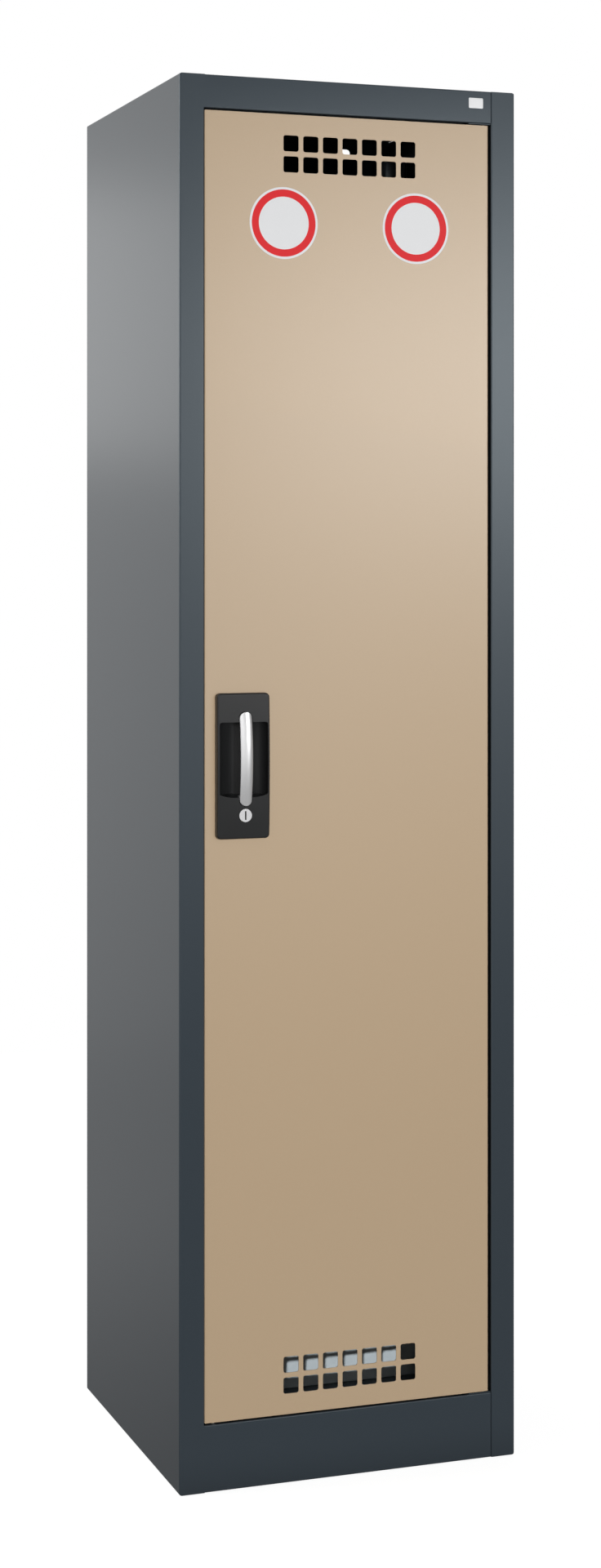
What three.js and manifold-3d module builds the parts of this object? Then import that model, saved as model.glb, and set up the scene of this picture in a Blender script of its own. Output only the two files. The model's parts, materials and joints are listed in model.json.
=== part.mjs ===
// Steel environmental cabinet: a folded carcass on a plinth, one inset door with vent groups,
// a recessed grip with a bow and a lock, two locking rods, slotted rails, tray shelves and a floor sump.
// Millimetres, +Z up, X to the right as seen from the front, Y towards the back. The origin is on the
// floor, in the middle of the space that the whole cabinet takes.

import * as THREE from "three";
import { ConvexGeometry } from "three/addons/geometries/ConvexGeometry.js";
import { mergeVertices } from "three/addons/utils/BufferGeometryUtils.js";
import Module from "manifold-3d";

const wasm = await Module();
wasm.setup();

// Overall size and sheet
const width = 500;
const depth = 500;
const height = 1950;
const sheet = 1;
const bend = 1.5; // radius of a fold, on the middle of the sheet
const fit = 0.3; // clearance between pieces that seat on each other
const overrun = 5; // how far a cutting body runs past what it cuts
const bendSteps = 3;
const cornerSteps = 2;
const roundSides = 24;
const smallSides = 16;

// Corner posts and rear flanges of the side panels
const postWidth = 36;
const postDepth = 30;
const postLip = 14;
const rearFlange = 20;
const frameCorner = 3.5; // rounding of the carcass outline, seen from the front

// Top rail, plinth and door stops
const topRailHeight = 46;
const plinthHeight = 92.5;
const railReturn = 30;
const stopHeight = 14;
const plinthLip = 16;
const roofRearDrop = 10;
const floorRearDrop = 20;
const seam = 0.8; // open seam between the rails and the hinge-side post

// Air holes high in the rear panel
const rearHoleWidth = 19;
const rearHoleHeight = 14.4;
const rearHoleCorner = 5;
const rearHoleFromSide = 77.5;
const rearHoleFromTop = 22.8;

// Slotted shelf rails
const railWeb = 25;
const railStandOff = 32; // from the side panel to the slotted face
const railLip = 9;
const railFromFront = 75;
const railFromBack = 60;
const railEndGap = 40;
const slotWidth = 18;
const slotHeight = 4;
const slotPitch = 50;

// Shelf brackets
const bracketSheet = 1.5;
const bracketWidth = 16;
const bracketReach = 18;
const bracketLeg = 24;
const bracketHookDrop = 7;
const bracketHookGap = 1.2;
const bracketBend = 1.2;

// Tray shelves and the floor sump
const trayGap = 6; // from the end of a tray to the slotted face of the rails
const trayHeight = 35;
const trayRim = 12;
const trayFromFront = 45;
const trayFromBack = 25;
const shelfShares = [0.25, 0.5, 0.74]; // heights of the shelves as shares of the rail's slots
const sumpHeight = 70;
const sumpFromFront = 73;

// Door pan and its gaps in the frame
const doorRecess = 2.5;
const doorGapLock = 0.8;
const doorGapHinge = 3.6;
const doorGapTop = 2.7;
const doorGapBottom = 2;
const doorFold = 22;
const doorLip = 16;
const doorCorner = 1.5;

// Vents, seven by two at the top and at the bottom
const ventColumns = 7;
const ventRows = 2;
const ventSize = 22.4;
const ventCorner = 3;
const ventCornerSteps = 3;
const ventPitch = 29.1;
const ventFromTop = 29;
const ventFromBottom = 28.5;

// Stiffener behind the door skin
const stiffenerX = 70;
const stiffenerWeb = 36;
const stiffenerDepth = 16;
const stiffenerFoot = 12;
const stiffenerEndGap = 130;

// Door pivots
const pivotFromEdge = 6.5;
const pivotBehindFace = 6;
const pinRadius = 2.5;
const pinReach = 9;
const bushWall = 1.5;
const bushCollar = 0.6;
const bushHeight = 5;
const bushCollarHeight = 2;
const hingePlateLength = 34;
const hingePlateDepth = 20;
const hingePlateThick = 1.2;
const hingePlateFromFront = 2.2;
const runningFit = 0.2;

// Handle housing
const handleFromEdge = 55.6; // axis of the bow and the lock, from the lock-side edge of the door
const housingShift = 2.4; // from that axis to the middle of the housing, towards the lock side
const handleZ = 998;
const housingWidth = 76;
const housingHeight = 201;
const housingProud = 13;
const housingCorner = 6;
const housingBevel = 2.4;
const housingCrown = 2.5; // how far its face falls back from its middle to its ends
const crownSteps = 10;
const bevelSteps = 3;
const housingCornerSteps = 5;
const wellFromTop = 40; // from the ends of the housing
const wellFromBottom = 60.6;
const wellFromSide = 3;
const wellCorner = 3;
const wellDepth = 28;
const wellLipDrop = 3.6; // the lower edge of the well sags by this in its middle
const wellLipSteps = 10;
const wellWall = 1.6;
const wellSteps = 18;
const pocketGap = 1;
const pocketDepth = 9;

// Bow
const bowProud = 22; // front of the bow at its middle, in front of the door skin
const bowSagitta = 7;
const bowWidth = 18;
const bowThick = 9;
const bowFromTop = 26; // from the ends of the housing
const bowFromBottom = 45.8;
const bowFootLength = 14;
const bowSteps = 16;
const bowSides = 28;

// Lock
const lockFromBottom = 32.5; // from the lower end of the housing
const lockFaceRadius = 9.15;
const lockFaceThick = 2;
const lockFaceProud = 0.6;
const lockHoleGap = 0.45;
const keySlotLength = 12;
const keySlotWidth = 2;
const keySlotDepth = 1.4;
const barrelRadius = 8.4;
const plugRadius = 5.6;
const plugTailRadius = 3;
const barrelTail = 1.3; // how far the barrel reaches behind the skin
const camGap = 1.8; // from the back of the skin to the cam
const camRadius = 15;
const camThick = 2.5;
const crankRadius = 11.5;
const crankPinRadius = 2;
const camScrewRadius = 3.2;
const camScrewHead = 1.4;

// Locking rods
const rodFromEdge = 13.7; // from the lock-side edge of the door
const rodRadius = 3;
const rodSkinGap = 0.5;
const upperRodGap = 3.2; // tip of the rod, drawn back, to the rail that it locks into
const lowerRodGap = 0.4;
const rodTipLength = 26;
const rodTipDome = 2;
const yokeThick = 1.5;
const yokeHalfHeight = 6;
const yokeSlotGap = 0.5;
const yokeWall = 1.6;
const yokeArmWidth = 6.4;
const rodStartFromLock = 20;
const rodLugLength = 12;
const rodHoleGap = 0.6;

// Rod guides, lock case, keepers, buffers and screws
const guideWidth = 18;
const guideHeight = 12;
const guideBack = 2.7;
const guideFromEnd = 45;
const guideFromLock = 230;
const lockCaseWidth = 32;
const lockCaseHalfHeight = 17;
const lockCaseFoot = 5;
const lockCaseGap = 0.5;
const keeperLength = 25;
const keeperDepth = 14;
const keeperThick = 1.5;
const keeperFromFront = 2.7;
const bufferRadius = 5;
const bufferLength = 4;
const bufferFromEdge = 50;
const housingScrewRadius = 3;
const housingScrewHead = 2;
const housingScrewInset = 6.5;

// Places that follow from the sizes above
const half = sheet / 2;
const front = (bowProud - doorRecess - depth) / 2;
const back = front + depth;
const side = width / 2;
const wallInner = side - sheet;
const openingSide = side - postWidth;
const openingTop = height - topRailHeight;
const floorTop = plinthHeight + stopHeight;
const doorFace = front + doorRecess;
const skinBack = doorFace + sheet;
const doorBack = doorFace + doorFold;
const doorLeft = -openingSide + doorGapLock;
const doorRight = openingSide - doorGapHinge;
const doorTop = openingTop - doorGapTop;
const doorBottom = plinthHeight + doorGapBottom;
const pivotX = doorRight - pivotFromEdge;
const pivotY = doorFace + pivotBehindFace;
const rearPanelY = back - sheet - fit - sheet;
const railFace = wallInner - railStandOff;
const trayWidth = 2 * (railFace - trayGap);
const rodX = doorLeft + rodFromEdge;
const rodY = skinBack + rodSkinGap + rodRadius;
const handleX = doorLeft + handleFromEdge;
const housingX = handleX - housingShift;
const wellTop = housingHeight / 2 - wellFromTop; // above the middle of the housing
const wellBottom = housingHeight / 2 - wellFromBottom; // below it
const wellWidth = housingWidth - 2 * wellFromSide;
const bowTop = housingHeight / 2 - bowFromTop;
const bowBottom = housingHeight / 2 - bowFromBottom;
const lockBelowHandle = housingHeight / 2 - lockFromBottom;
const lockZ = handleZ - lockBelowHandle;
const crankOffset = crankRadius * Math.SQRT1_2;
const camFront = skinBack + camGap;
const camBack = camFront + camThick;
const yokeNear = camBack + fit; // layer of the upper rod's yoke
const yokeFar = yokeNear + yokeThick + fit; // layer of the lower rod's yoke

const anthracite = new THREE.MeshStandardMaterial({ color: 0x474d54, roughness: 0.45, metalness: 0.1 });
const beige = new THREE.MeshStandardMaterial({ color: 0xbfa888, roughness: 0.45, metalness: 0.05 });
const galvanised = new THREE.MeshStandardMaterial({ color: 0xacb4b8, roughness: 0.5, metalness: 0.7 });
const zinc = new THREE.MeshStandardMaterial({ color: 0xb9bcbd, roughness: 0.4, metalness: 0.8 });
const blackPlastic = new THREE.MeshStandardMaterial({ color: 0x2c2d2e, roughness: 0.5, metalness: 0 });
const silver = new THREE.MeshStandardMaterial({ color: 0xd9dadb, roughness: 0.3, metalness: 0.6 });
const nylon = new THREE.MeshStandardMaterial({ color: 0xf0f0ec, roughness: 0.5, metalness: 0 });
const rubber = new THREE.MeshStandardMaterial({ color: 0x1d1d1d, roughness: 0.8, metalness: 0 });

// A closed geometry as a solid that can be joined and cut.
function solidOf(geometry) {
  const bare = geometry.clone();
  bare.deleteAttribute("normal");
  bare.deleteAttribute("uv");
  const merged = mergeVertices(bare);
  return new wasm.Manifold(
    new wasm.Mesh({
      numProp: 3,
      vertProperties: new Float32Array(merged.attributes.position.array),
      triVerts: new Uint32Array(merged.index.array),
    }),
  );
}

function named(name, solid, material) {
  const made = solid.getMesh();
  const geometry = new THREE.BufferGeometry();
  geometry.setAttribute("position", new THREE.BufferAttribute(made.vertProperties, made.numProp));
  geometry.setIndex(new THREE.BufferAttribute(made.triVerts, 1));
  geometry.computeVertexNormals();
  const mesh = new THREE.Mesh(geometry, material);
  mesh.name = name;
  return mesh;
}

function joined(solids) {
  return solids.reduce((sum, next) => sum.add(next));
}

function point(x, y) {
  return new THREE.Vector2(x, y);
}

function arc(centreX, centreY, radius, from, to, steps) {
  const points = [];
  for (let step = 0; step <= steps; step++) {
    const angle = from + ((to - from) * step) / steps;
    points.push(point(centreX + radius * Math.cos(angle), centreY + radius * Math.sin(angle)));
  }
  return points;
}

// A rectangle with rounded corners, from its low corner to its high corner.
function rounded(lowX, lowY, highX, highY, radius, steps = cornerSteps) {
  const quarter = Math.PI / 2;
  return [
    ...arc(highX - radius, highY - radius, radius, 0, quarter, steps),
    ...arc(lowX + radius, highY - radius, radius, quarter, 2 * quarter, steps),
    ...arc(lowX + radius, lowY + radius, radius, 2 * quarter, 3 * quarter, steps),
    ...arc(highX - radius, lowY + radius, radius, 3 * quarter, 4 * quarter, steps),
  ];
}

// The outline of a folded strip of sheet whose middle follows a line of straight runs.
function folded(line, thickness, radius) {
  const halfSheet = thickness / 2;
  const leftSide = [];
  const rightSide = [];
  line.forEach((corner, index) => {
    const before = line[index - 1];
    const after = line[index + 1];
    const along = (before ? corner.clone().sub(before) : after.clone().sub(corner)).normalize();
    const leftward = point(-along.y, along.x);
    if (!before || !after) {
      leftSide.push(corner.clone().addScaledVector(leftward, halfSheet));
      rightSide.push(corner.clone().addScaledVector(leftward, -halfSheet));
      return;
    }
    const onward = after.clone().sub(corner).normalize();
    const turn = Math.atan2(along.cross(onward), along.dot(onward));
    const towards = Math.sign(turn);
    const centre = corner
      .clone()
      .addScaledVector(along, -radius * Math.tan(Math.abs(turn) / 2))
      .addScaledVector(leftward, towards * radius);
    for (let step = 0; step <= bendSteps; step++) {
      const outward = leftward.clone().multiplyScalar(-towards);
      outward.rotateAround(point(0, 0), (turn * step) / bendSteps);
      leftSide.push(centre.clone().addScaledVector(outward, radius - towards * halfSheet));
      rightSide.push(centre.clone().addScaledVector(outward, radius + towards * halfSheet));
    }
  });
  return [...leftSide, ...rightSide.reverse()];
}

// Straight solids from an outline: along X the outline is in Y and Z, along Y in X and Z, along Z in X and Y.
function prism(points, length) {
  return new THREE.ExtrudeGeometry(new THREE.Shape(points), { depth: length, bevelEnabled: false });
}

function alongX(points, from, to) {
  const basis = new THREE.Matrix4().makeBasis(
    new THREE.Vector3(0, 1, 0),
    new THREE.Vector3(0, 0, 1),
    new THREE.Vector3(1, 0, 0),
  );
  return solidOf(prism(points, to - from).applyMatrix4(basis).translate(from, 0, 0));
}

function alongY(points, from, to) {
  return solidOf(prism(points, to - from).rotateX(Math.PI / 2).translate(0, to, 0));
}

function alongZ(points, from, to) {
  return solidOf(prism(points, to - from).translate(0, 0, from));
}

function block(lowX, highX, lowY, highY, lowZ, highZ) {
  const box = new THREE.BoxGeometry(highX - lowX, highY - lowY, highZ - lowZ);
  return solidOf(box.translate((lowX + highX) / 2, (lowY + highY) / 2, (lowZ + highZ) / 2));
}

// A solid turned about the Y axis: each profile point is a radius and a place along Y.
function turned(profile, sides) {
  return solidOf(new THREE.LatheGeometry(profile, sides));
}

function rodAlongY(x, z, radius, from, to, sides) {
  const bar = new THREE.CylinderGeometry(radius, radius, to - from, sides);
  return solidOf(bar.translate(x, (from + to) / 2, z));
}

function rodAlongZ(x, y, radius, from, to, sides) {
  const bar = new THREE.CylinderGeometry(radius, radius, to - from, sides);
  return solidOf(bar.rotateX(Math.PI / 2).translate(x, y, (from + to) / 2));
}

function mirrored(points, hand) {
  return points.map((corner) => point(corner.x * hand, corner.y));
}

// The carcass outline seen from the front, with its rounded corners.
function carcassOutline() {
  return alongY(rounded(-side, 0, side, height, frameCorner), front - overrun, back + overrun);
}

// One side panel with its boxed front post and its rear flange; hand is 1 on the right and -1 on the left.
function sidePanel(name, hand) {
  const line = [
    point(side - rearFlange, back - half),
    point(side - half, back - half),
    point(side - half, front + half),
    point(openingSide + half, front + half),
    point(openingSide + half, front + postDepth - half),
    point(openingSide + postLip, front + postDepth - half),
  ];
  const wall = alongZ(folded(mirrored(line, hand), sheet, bend), 0, height);
  const inner = openingSide + half;
  const outer = side - half;
  const low = Math.min(hand * inner, hand * outer);
  const high = Math.max(hand * inner, hand * outer);
  const foot = block(low, high, front + half, front + postDepth - half, 0, sheet);
  const cap = block(low, high, front + half, front + postDepth - half, height - sheet, height);
  return named(name, joined([wall, foot, cap]).intersect(carcassOutline()), anthracite);
}

// The corners that the posts take out of a panel folded across the whole width.
function postNotches(lowZ, highZ) {
  const deep = front + postDepth + fit;
  return block(openingSide - seam, side + overrun, front - overrun, deep, lowZ, highZ).add(
    block(-side - overrun, -openingSide + fit, front - overrun, deep, lowZ, highZ),
  );
}

// The folded ends of a rail, which lie along the posts.
function endTabs(lowZ, highZ) {
  const near = front + half;
  const far = front + railReturn - half;
  const right = openingSide - seam;
  const left = -openingSide + fit;
  return block(right - sheet, right, near, far, lowZ, highZ).add(
    block(left, left + sheet, near, far, lowZ, highZ),
  );
}

function topPanel() {
  const line = [
    point(back - half, height - roofRearDrop),
    point(back - half, height - half),
    point(front + half, height - half),
    point(front + half, openingTop + half),
    point(front + railReturn - half, openingTop + half),
    point(front + railReturn - half, openingTop - stopHeight),
  ];
  const strip = alongX(folded(line, sheet, bend), -wallInner + fit, wallInner - fit);
  const low = openingTop - stopHeight - overrun;
  const rearCut = side - rearFlange - fit;
  const cuts = joined([
    postNotches(low, height + overrun),
    block(rearCut, side, back - sheet - fit, back + overrun, low, height + overrun),
    block(-side, -rearCut, back - sheet - fit, back + overrun, low, height + overrun),
    rodAlongZ(rodX, rodY, rodRadius + rodHoleGap, openingTop - overrun, openingTop + overrun, smallSides),
  ]);
  const tabs = endTabs(openingTop + half, height - half);
  return named("top_panel", strip.subtract(cuts).add(tabs).intersect(carcassOutline()), anthracite);
}

function floorPanel() {
  const rearEnd = rearPanelY - fit - half;
  const line = [
    point(front + plinthLip, half),
    point(front + half, half),
    point(front + half, plinthHeight - half),
    point(front + railReturn - half, plinthHeight - half),
    point(front + railReturn - half, floorTop - half),
    point(rearEnd, floorTop - half),
    point(rearEnd, floorTop - floorRearDrop),
  ];
  const strip = alongX(folded(line, sheet, bend), -wallInner + fit, wallInner - fit);
  const cuts = postNotches(-overrun, floorTop + overrun).add(
    rodAlongZ(rodX, rodY, rodRadius + rodHoleGap, plinthHeight - overrun, plinthHeight + overrun, smallSides),
  );
  return named("floor_panel", strip.subtract(cuts).add(endTabs(half, plinthHeight - half)), anthracite);
}

function rearPanel() {
  const reach = wallInner - bend;
  const plate = block(-reach, reach, rearPanelY, rearPanelY + sheet, 0, height - sheet - bend);
  const holes = [-1, 1].map((hand) => {
    const x = hand * (side - rearHoleFromSide);
    const z = height - rearHoleFromTop;
    const outline = rounded(
      x - rearHoleWidth / 2,
      z - rearHoleHeight / 2,
      x + rearHoleWidth / 2,
      z + rearHoleHeight / 2,
      rearHoleCorner,
    );
    return alongY(outline, rearPanelY - overrun, rearPanelY + overrun);
  });
  return named("rear_panel", plate.subtract(joined(holes)), anthracite);
}

// Slot heights shared by all four shelf rails.
const railBottom = floorTop + fit;
const railTop = height - railEndGap;
const slotCount = Math.floor((railTop - railBottom - slotPitch) / slotPitch);
const slotZ = (index) => railBottom + slotPitch * (index + 1);

function shelfRail(name, hand, middleY) {
  const wallX = wallInner - half;
  const faceX = railFace + half;
  const line = [
    point(wallX, middleY - railWeb / 2 - railLip),
    point(wallX, middleY - railWeb / 2 + half),
    point(faceX, middleY - railWeb / 2 + half),
    point(faceX, middleY + railWeb / 2 - half),
    point(wallX, middleY + railWeb / 2 - half),
    point(wallX, middleY + railWeb / 2 + railLip),
  ];
  const channel = alongZ(folded(mirrored(line, hand), sheet, bend), railBottom, railTop);
  const near = railFace - overrun;
  const far = railFace + overrun;
  const slots = [];
  for (let index = 0; index < slotCount; index++) {
    slots.push(
      block(
        Math.min(hand * near, hand * far),
        Math.max(hand * near, hand * far),
        middleY - slotWidth / 2,
        middleY + slotWidth / 2,
        slotZ(index) - slotHeight / 2,
        slotZ(index) + slotHeight / 2,
      ),
    );
  }
  return named(name, channel.subtract(joined(slots)), galvanised);
}

// A bracket that hooks through a slot of a rail; its own origin is the middle of the slot.
function shelfBracket(name, hand, middleY, z) {
  const line = [
    point(sheet + bracketHookGap + bracketSheet / 2, -bracketHookDrop),
    point(sheet + bracketHookGap + bracketSheet / 2, 0),
    point(-bracketReach, 0),
  ];
  const hook = alongY(folded(mirrored(line, hand), bracketSheet, bracketBend), -bracketWidth / 2, bracketWidth / 2);
  const legFar = -fit;
  const legNear = -fit - bracketSheet;
  const leg = block(
    Math.min(hand * legNear, hand * legFar),
    Math.max(hand * legNear, hand * legFar),
    -bracketWidth / 2,
    bracketWidth / 2,
    -bracketLeg,
    0,
  );
  const bracket = named(name, hook.add(leg), zinc);
  bracket.position.set(hand * railFace, middleY, z);
  return bracket;
}

// A folded tray; its own origin is under its middle.
function tray(name, trayDepth, wallHeight) {
  const nearY = -trayDepth / 2;
  const line = [
    point(nearY + trayRim, wallHeight - half),
    point(nearY + half, wallHeight - half),
    point(nearY + half, half),
    point(-nearY - half, half),
    point(-nearY - half, wallHeight - half),
    point(-nearY - trayRim, wallHeight - half),
  ];
  const strip = alongX(folded(line, sheet, bend), -trayWidth / 2, trayWidth / 2);
  const ends = [-1, 1].map((hand) => {
    const outer = (hand * trayWidth) / 2;
    const inner = outer - hand * sheet;
    const outline = rounded(nearY, 0, -nearY, wallHeight, bend + half);
    return alongX(outline, Math.min(outer, inner), Math.max(outer, inner));
  });
  return named(name, joined([strip, ...ends]), galvanised);
}

function ventCuts() {
  const groups = [
    doorTop - ventFromTop - ventSize / 2 - (ventPitch * (ventRows - 1)) / 2,
    doorBottom + ventFromBottom + ventSize / 2 + (ventPitch * (ventRows - 1)) / 2,
  ];
  const cuts = [];
  for (const middle of groups) {
    for (let row = 0; row < ventRows; row++) {
      for (let column = 0; column < ventColumns; column++) {
        const x = (column - (ventColumns - 1) / 2) * ventPitch;
        const z = middle + (row - (ventRows - 1) / 2) * ventPitch;
        const reach = ventSize / 2;
        const outline = rounded(x - reach, z - reach, x + reach, z + reach, ventCorner, ventCornerSteps);
        cuts.push(alongY(outline, doorFace - overrun, skinBack + overrun));
      }
    }
  }
  return joined(cuts);
}

function doorPanel() {
  const line = [
    point(doorLeft + doorLip, doorBack - half),
    point(doorLeft + half, doorBack - half),
    point(doorLeft + half, doorFace + half),
    point(doorRight - half, doorFace + half),
    point(doorRight - half, doorBack - half),
    point(doorRight - doorLip, doorBack - half),
  ];
  const skin = alongZ(folded(line, sheet, bend), doorBottom, doorTop);
  const ends = [1, -1].flatMap((up) => {
    const edge = up > 0 ? doorTop : doorBottom;
    const flangeInner = edge - up * sheet;
    const lipInner = edge - up * doorLip;
    return [
      block(
        doorLeft + half,
        doorRight - half,
        doorFace + half,
        doorBack,
        Math.min(edge, flangeInner),
        Math.max(edge, flangeInner),
      ),
      block(
        doorLeft + half,
        doorRight - half,
        doorBack - sheet,
        doorBack,
        Math.min(edge, lipInner),
        Math.max(edge, lipInner),
      ),
    ];
  });
  const outline = alongY(
    rounded(doorLeft, doorBottom, doorRight, doorTop, doorCorner),
    doorFace - overrun,
    doorBack + overrun,
  );
  const wellCut = wellHalfWidthAtSkin() + wellWall + fit;
  const cuts = joined([
    ventCuts(),
    block(
      housingX - wellCut,
      housingX + wellCut,
      doorFace - overrun,
      skinBack + overrun,
      handleZ - wellBottom - wellWall - fit,
      handleZ + wellTop + wellWall + fit,
    ),
    rodAlongY(handleX, lockZ, barrelRadius + fit, doorFace - overrun, skinBack + overrun, roundSides),
    rodAlongZ(rodX, rodY, rodRadius + fit, doorBottom - overrun, doorBottom + overrun, smallSides),
    rodAlongZ(rodX, rodY, rodRadius + fit, doorTop - overrun, doorTop + overrun, smallSides),
    rodAlongZ(pivotX, pivotY, bushRadius + fit, doorBottom - overrun, doorBottom + overrun, smallSides),
    rodAlongZ(pivotX, pivotY, bushRadius + fit, doorTop - overrun, doorTop + overrun, smallSides),
  ]);
  return named("door_panel", joined([skin, ...ends]).intersect(outline).subtract(cuts), beige);
}

function doorStiffener() {
  const near = skinBack + half;
  const far = skinBack + stiffenerDepth - half;
  const wall = stiffenerWeb / 2 - half;
  const line = [
    point(stiffenerX - wall - stiffenerFoot, near),
    point(stiffenerX - wall, near),
    point(stiffenerX - wall, far),
    point(stiffenerX + wall, far),
    point(stiffenerX + wall, near),
    point(stiffenerX + wall + stiffenerFoot, near),
  ];
  const channel = alongZ(folded(line, sheet, bend), doorBottom + stiffenerEndGap, doorTop - stiffenerEndGap);
  return named("door_stiffener", channel, beige);
}

// Door pivots: a plate on the frame, a pin in it and a bush in the door's end flange.
const bushBore = pinRadius + runningFit;
const bushRadius = bushBore + bushWall;

function hingePlate(name, frameZ, up) {
  const low = Math.min(frameZ, frameZ + up * hingePlateThick);
  const high = Math.max(frameZ, frameZ + up * hingePlateThick);
  const plate = block(
    openingSide - hingePlateLength,
    openingSide - fit,
    front + hingePlateFromFront,
    front + hingePlateFromFront + hingePlateDepth,
    low,
    high,
  );
  const hole = rodAlongZ(pivotX, pivotY, bushBore, low - overrun, high + overrun, smallSides);
  return named(name, plate.subtract(hole), anthracite);
}

function hingePin(name, frameZ, up, doorEdge) {
  const reach = doorEdge + up * pinReach;
  const pin = rodAlongZ(0, 0, pinRadius, Math.min(frameZ, reach), Math.max(frameZ, reach), smallSides);
  const mesh = named(name, pin, zinc);
  mesh.position.set(pivotX, pivotY, 0);
  return mesh;
}

function hingeBush(name, doorEdge, up) {
  const low = Math.min(0, up * bushHeight);
  const high = Math.max(0, up * bushHeight);
  const collarNear = up * (sheet + fit);
  const collarFar = up * (sheet + fit + bushCollarHeight);
  const body = rodAlongZ(0, 0, bushRadius, low, high, smallSides).add(
    rodAlongZ(
      0,
      0,
      bushRadius + bushCollar,
      Math.min(collarNear, collarFar),
      Math.max(collarNear, collarFar),
      smallSides,
    ),
  );
  const bore = rodAlongZ(0, 0, bushBore, low - overrun, high + overrun, smallSides);
  const mesh = named(name, body.subtract(bore), blackPlastic);
  mesh.position.set(pivotX, pivotY, doorEdge);
  return mesh;
}

// Handle housing. Its origin is on the axis of the bow, at the face of the door skin and at half the
// housing's height, and its pieces stand in a group that is placed there.

// How far the crowned face of the housing has fallen back at a height above or below its middle.
function crownAt(z) {
  return housingCrown * (z / (housingHeight / 2)) ** 2;
}

// Half the width of the scooped well where it passes the door skin.
function wellHalfWidthAtSkin() {
  return (wellWidth / 2) * Math.sqrt(1 - (housingProud / wellDepth) ** 2);
}

// Half an ellipse in plan, from the housing's front face to the back of the well.
function scoop(halfWidth, deep, frontReach) {
  const points = [point(halfWidth, -housingProud - frontReach)];
  for (let step = 0; step <= wellSteps; step++) {
    const angle = (Math.PI * step) / wellSteps;
    points.push(point(halfWidth * Math.cos(angle), -housingProud + deep * Math.sin(angle)));
  }
  points.push(point(-halfWidth, -housingProud - frontReach));
  return frontReach > 0 ? points : points.slice(1, -1);
}

// A slot with one round end for an end of the bow, cut from the well into the block above or below it.
function bowPocket(edge, end, up) {
  const radius = bowWidth / 2 + pocketGap;
  const centre = end + up * (pocketGap - radius);
  const start = edge - up * overrun;
  const points = [point(-radius, start), point(radius, start)];
  points.push(...arc(0, centre, radius, 0, up * Math.PI, smallSides / 2));
  return alongY(points, -housingProud - overrun, -housingProud + pocketDepth);
}

// The raised body of the housing: a rounded block whose front edge is rounded and whose face is crowned.
function raisedBody() {
  const corners = [];
  const ring = (inset, y, crown) => {
    const reachX = housingWidth / 2 - inset;
    const reachZ = housingHeight / 2 - inset;
    const outline = rounded(-reachX, -reachZ, reachX, reachZ, housingCorner - inset, housingCornerSteps);
    const flank = reachZ - housingCorner + inset;
    for (let step = 1; step < crownSteps; step++) {
      const z = flank * ((2 * step) / crownSteps - 1);
      outline.push(point(reachX, z), point(-reachX, z));
    }
    for (const { x, y: z } of outline) {
      corners.push(new THREE.Vector3(x, y + crown * crownAt(z), z));
    }
  };
  ring(0, 0, 0);
  for (let step = 0; step <= bevelSteps; step++) {
    const angle = (Math.PI / 2) * (step / bevelSteps);
    ring(housingBevel * (1 - Math.cos(angle)), -housingProud + housingBevel * (1 - Math.sin(angle)), 1);
  }
  return solidOf(new ConvexGeometry(corners));
}

// The wedge that lets the lower edge of the well sag in the middle. It is as deep as the bow's pockets.
function wellLip() {
  const reach = wellWidth / 2 - wellCorner;
  const ahead = (pocketDepth + overrun) / pocketDepth;
  const corners = [];
  for (let step = 0; step <= wellLipSteps; step++) {
    const share = (2 * step) / wellLipSteps - 1;
    const sag = wellLipDrop * (1 - share ** 2) * ahead;
    corners.push(new THREE.Vector3(share * reach, -housingProud - overrun, -wellBottom - sag));
  }
  for (const hand of [-1, 1]) {
    corners.push(new THREE.Vector3(hand * reach, -housingProud - overrun, -wellBottom + wellCorner));
    corners.push(new THREE.Vector3(hand * reach, -housingProud + pocketDepth, -wellBottom));
    corners.push(new THREE.Vector3(hand * reach, -housingProud + pocketDepth, -wellBottom + wellCorner));
  }
  return solidOf(new ConvexGeometry(corners));
}

function handleHousing() {
  const tub = alongZ(
    scoop(wellWidth / 2 + wellWall, wellDepth + wellWall, 0),
    -wellBottom - wellWall,
    wellTop + wellWall,
  ).intersect(block(-housingWidth, housingWidth, -housingProud / 2, housingWidth, -housingHeight, housingHeight));
  const mouth = alongY(
    rounded(-wellWidth / 2, -wellBottom, wellWidth / 2, wellTop, wellCorner),
    -housingProud - overrun,
    wellDepth,
  );
  const plan = scoop(wellWidth / 2, wellDepth, overrun);
  const well = alongZ(plan, -wellBottom, wellTop).intersect(mouth);
  const lip = alongZ(plan, -wellBottom - housingHeight, wellTop).intersect(wellLip());
  const shell = raisedBody().add(tub).subtract(well.add(lip)).translate(-housingShift, 0, 0);
  const cuts = joined([
    bowPocket(wellTop, bowTop, 1),
    bowPocket(-wellBottom, -bowBottom, -1),
    rodAlongY(0, -lockBelowHandle, lockFaceRadius + lockHoleGap, -housingProud - overrun, overrun, roundSides),
  ]);
  return named("handle_housing", shell.subtract(cuts), blackPlastic);
}

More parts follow.
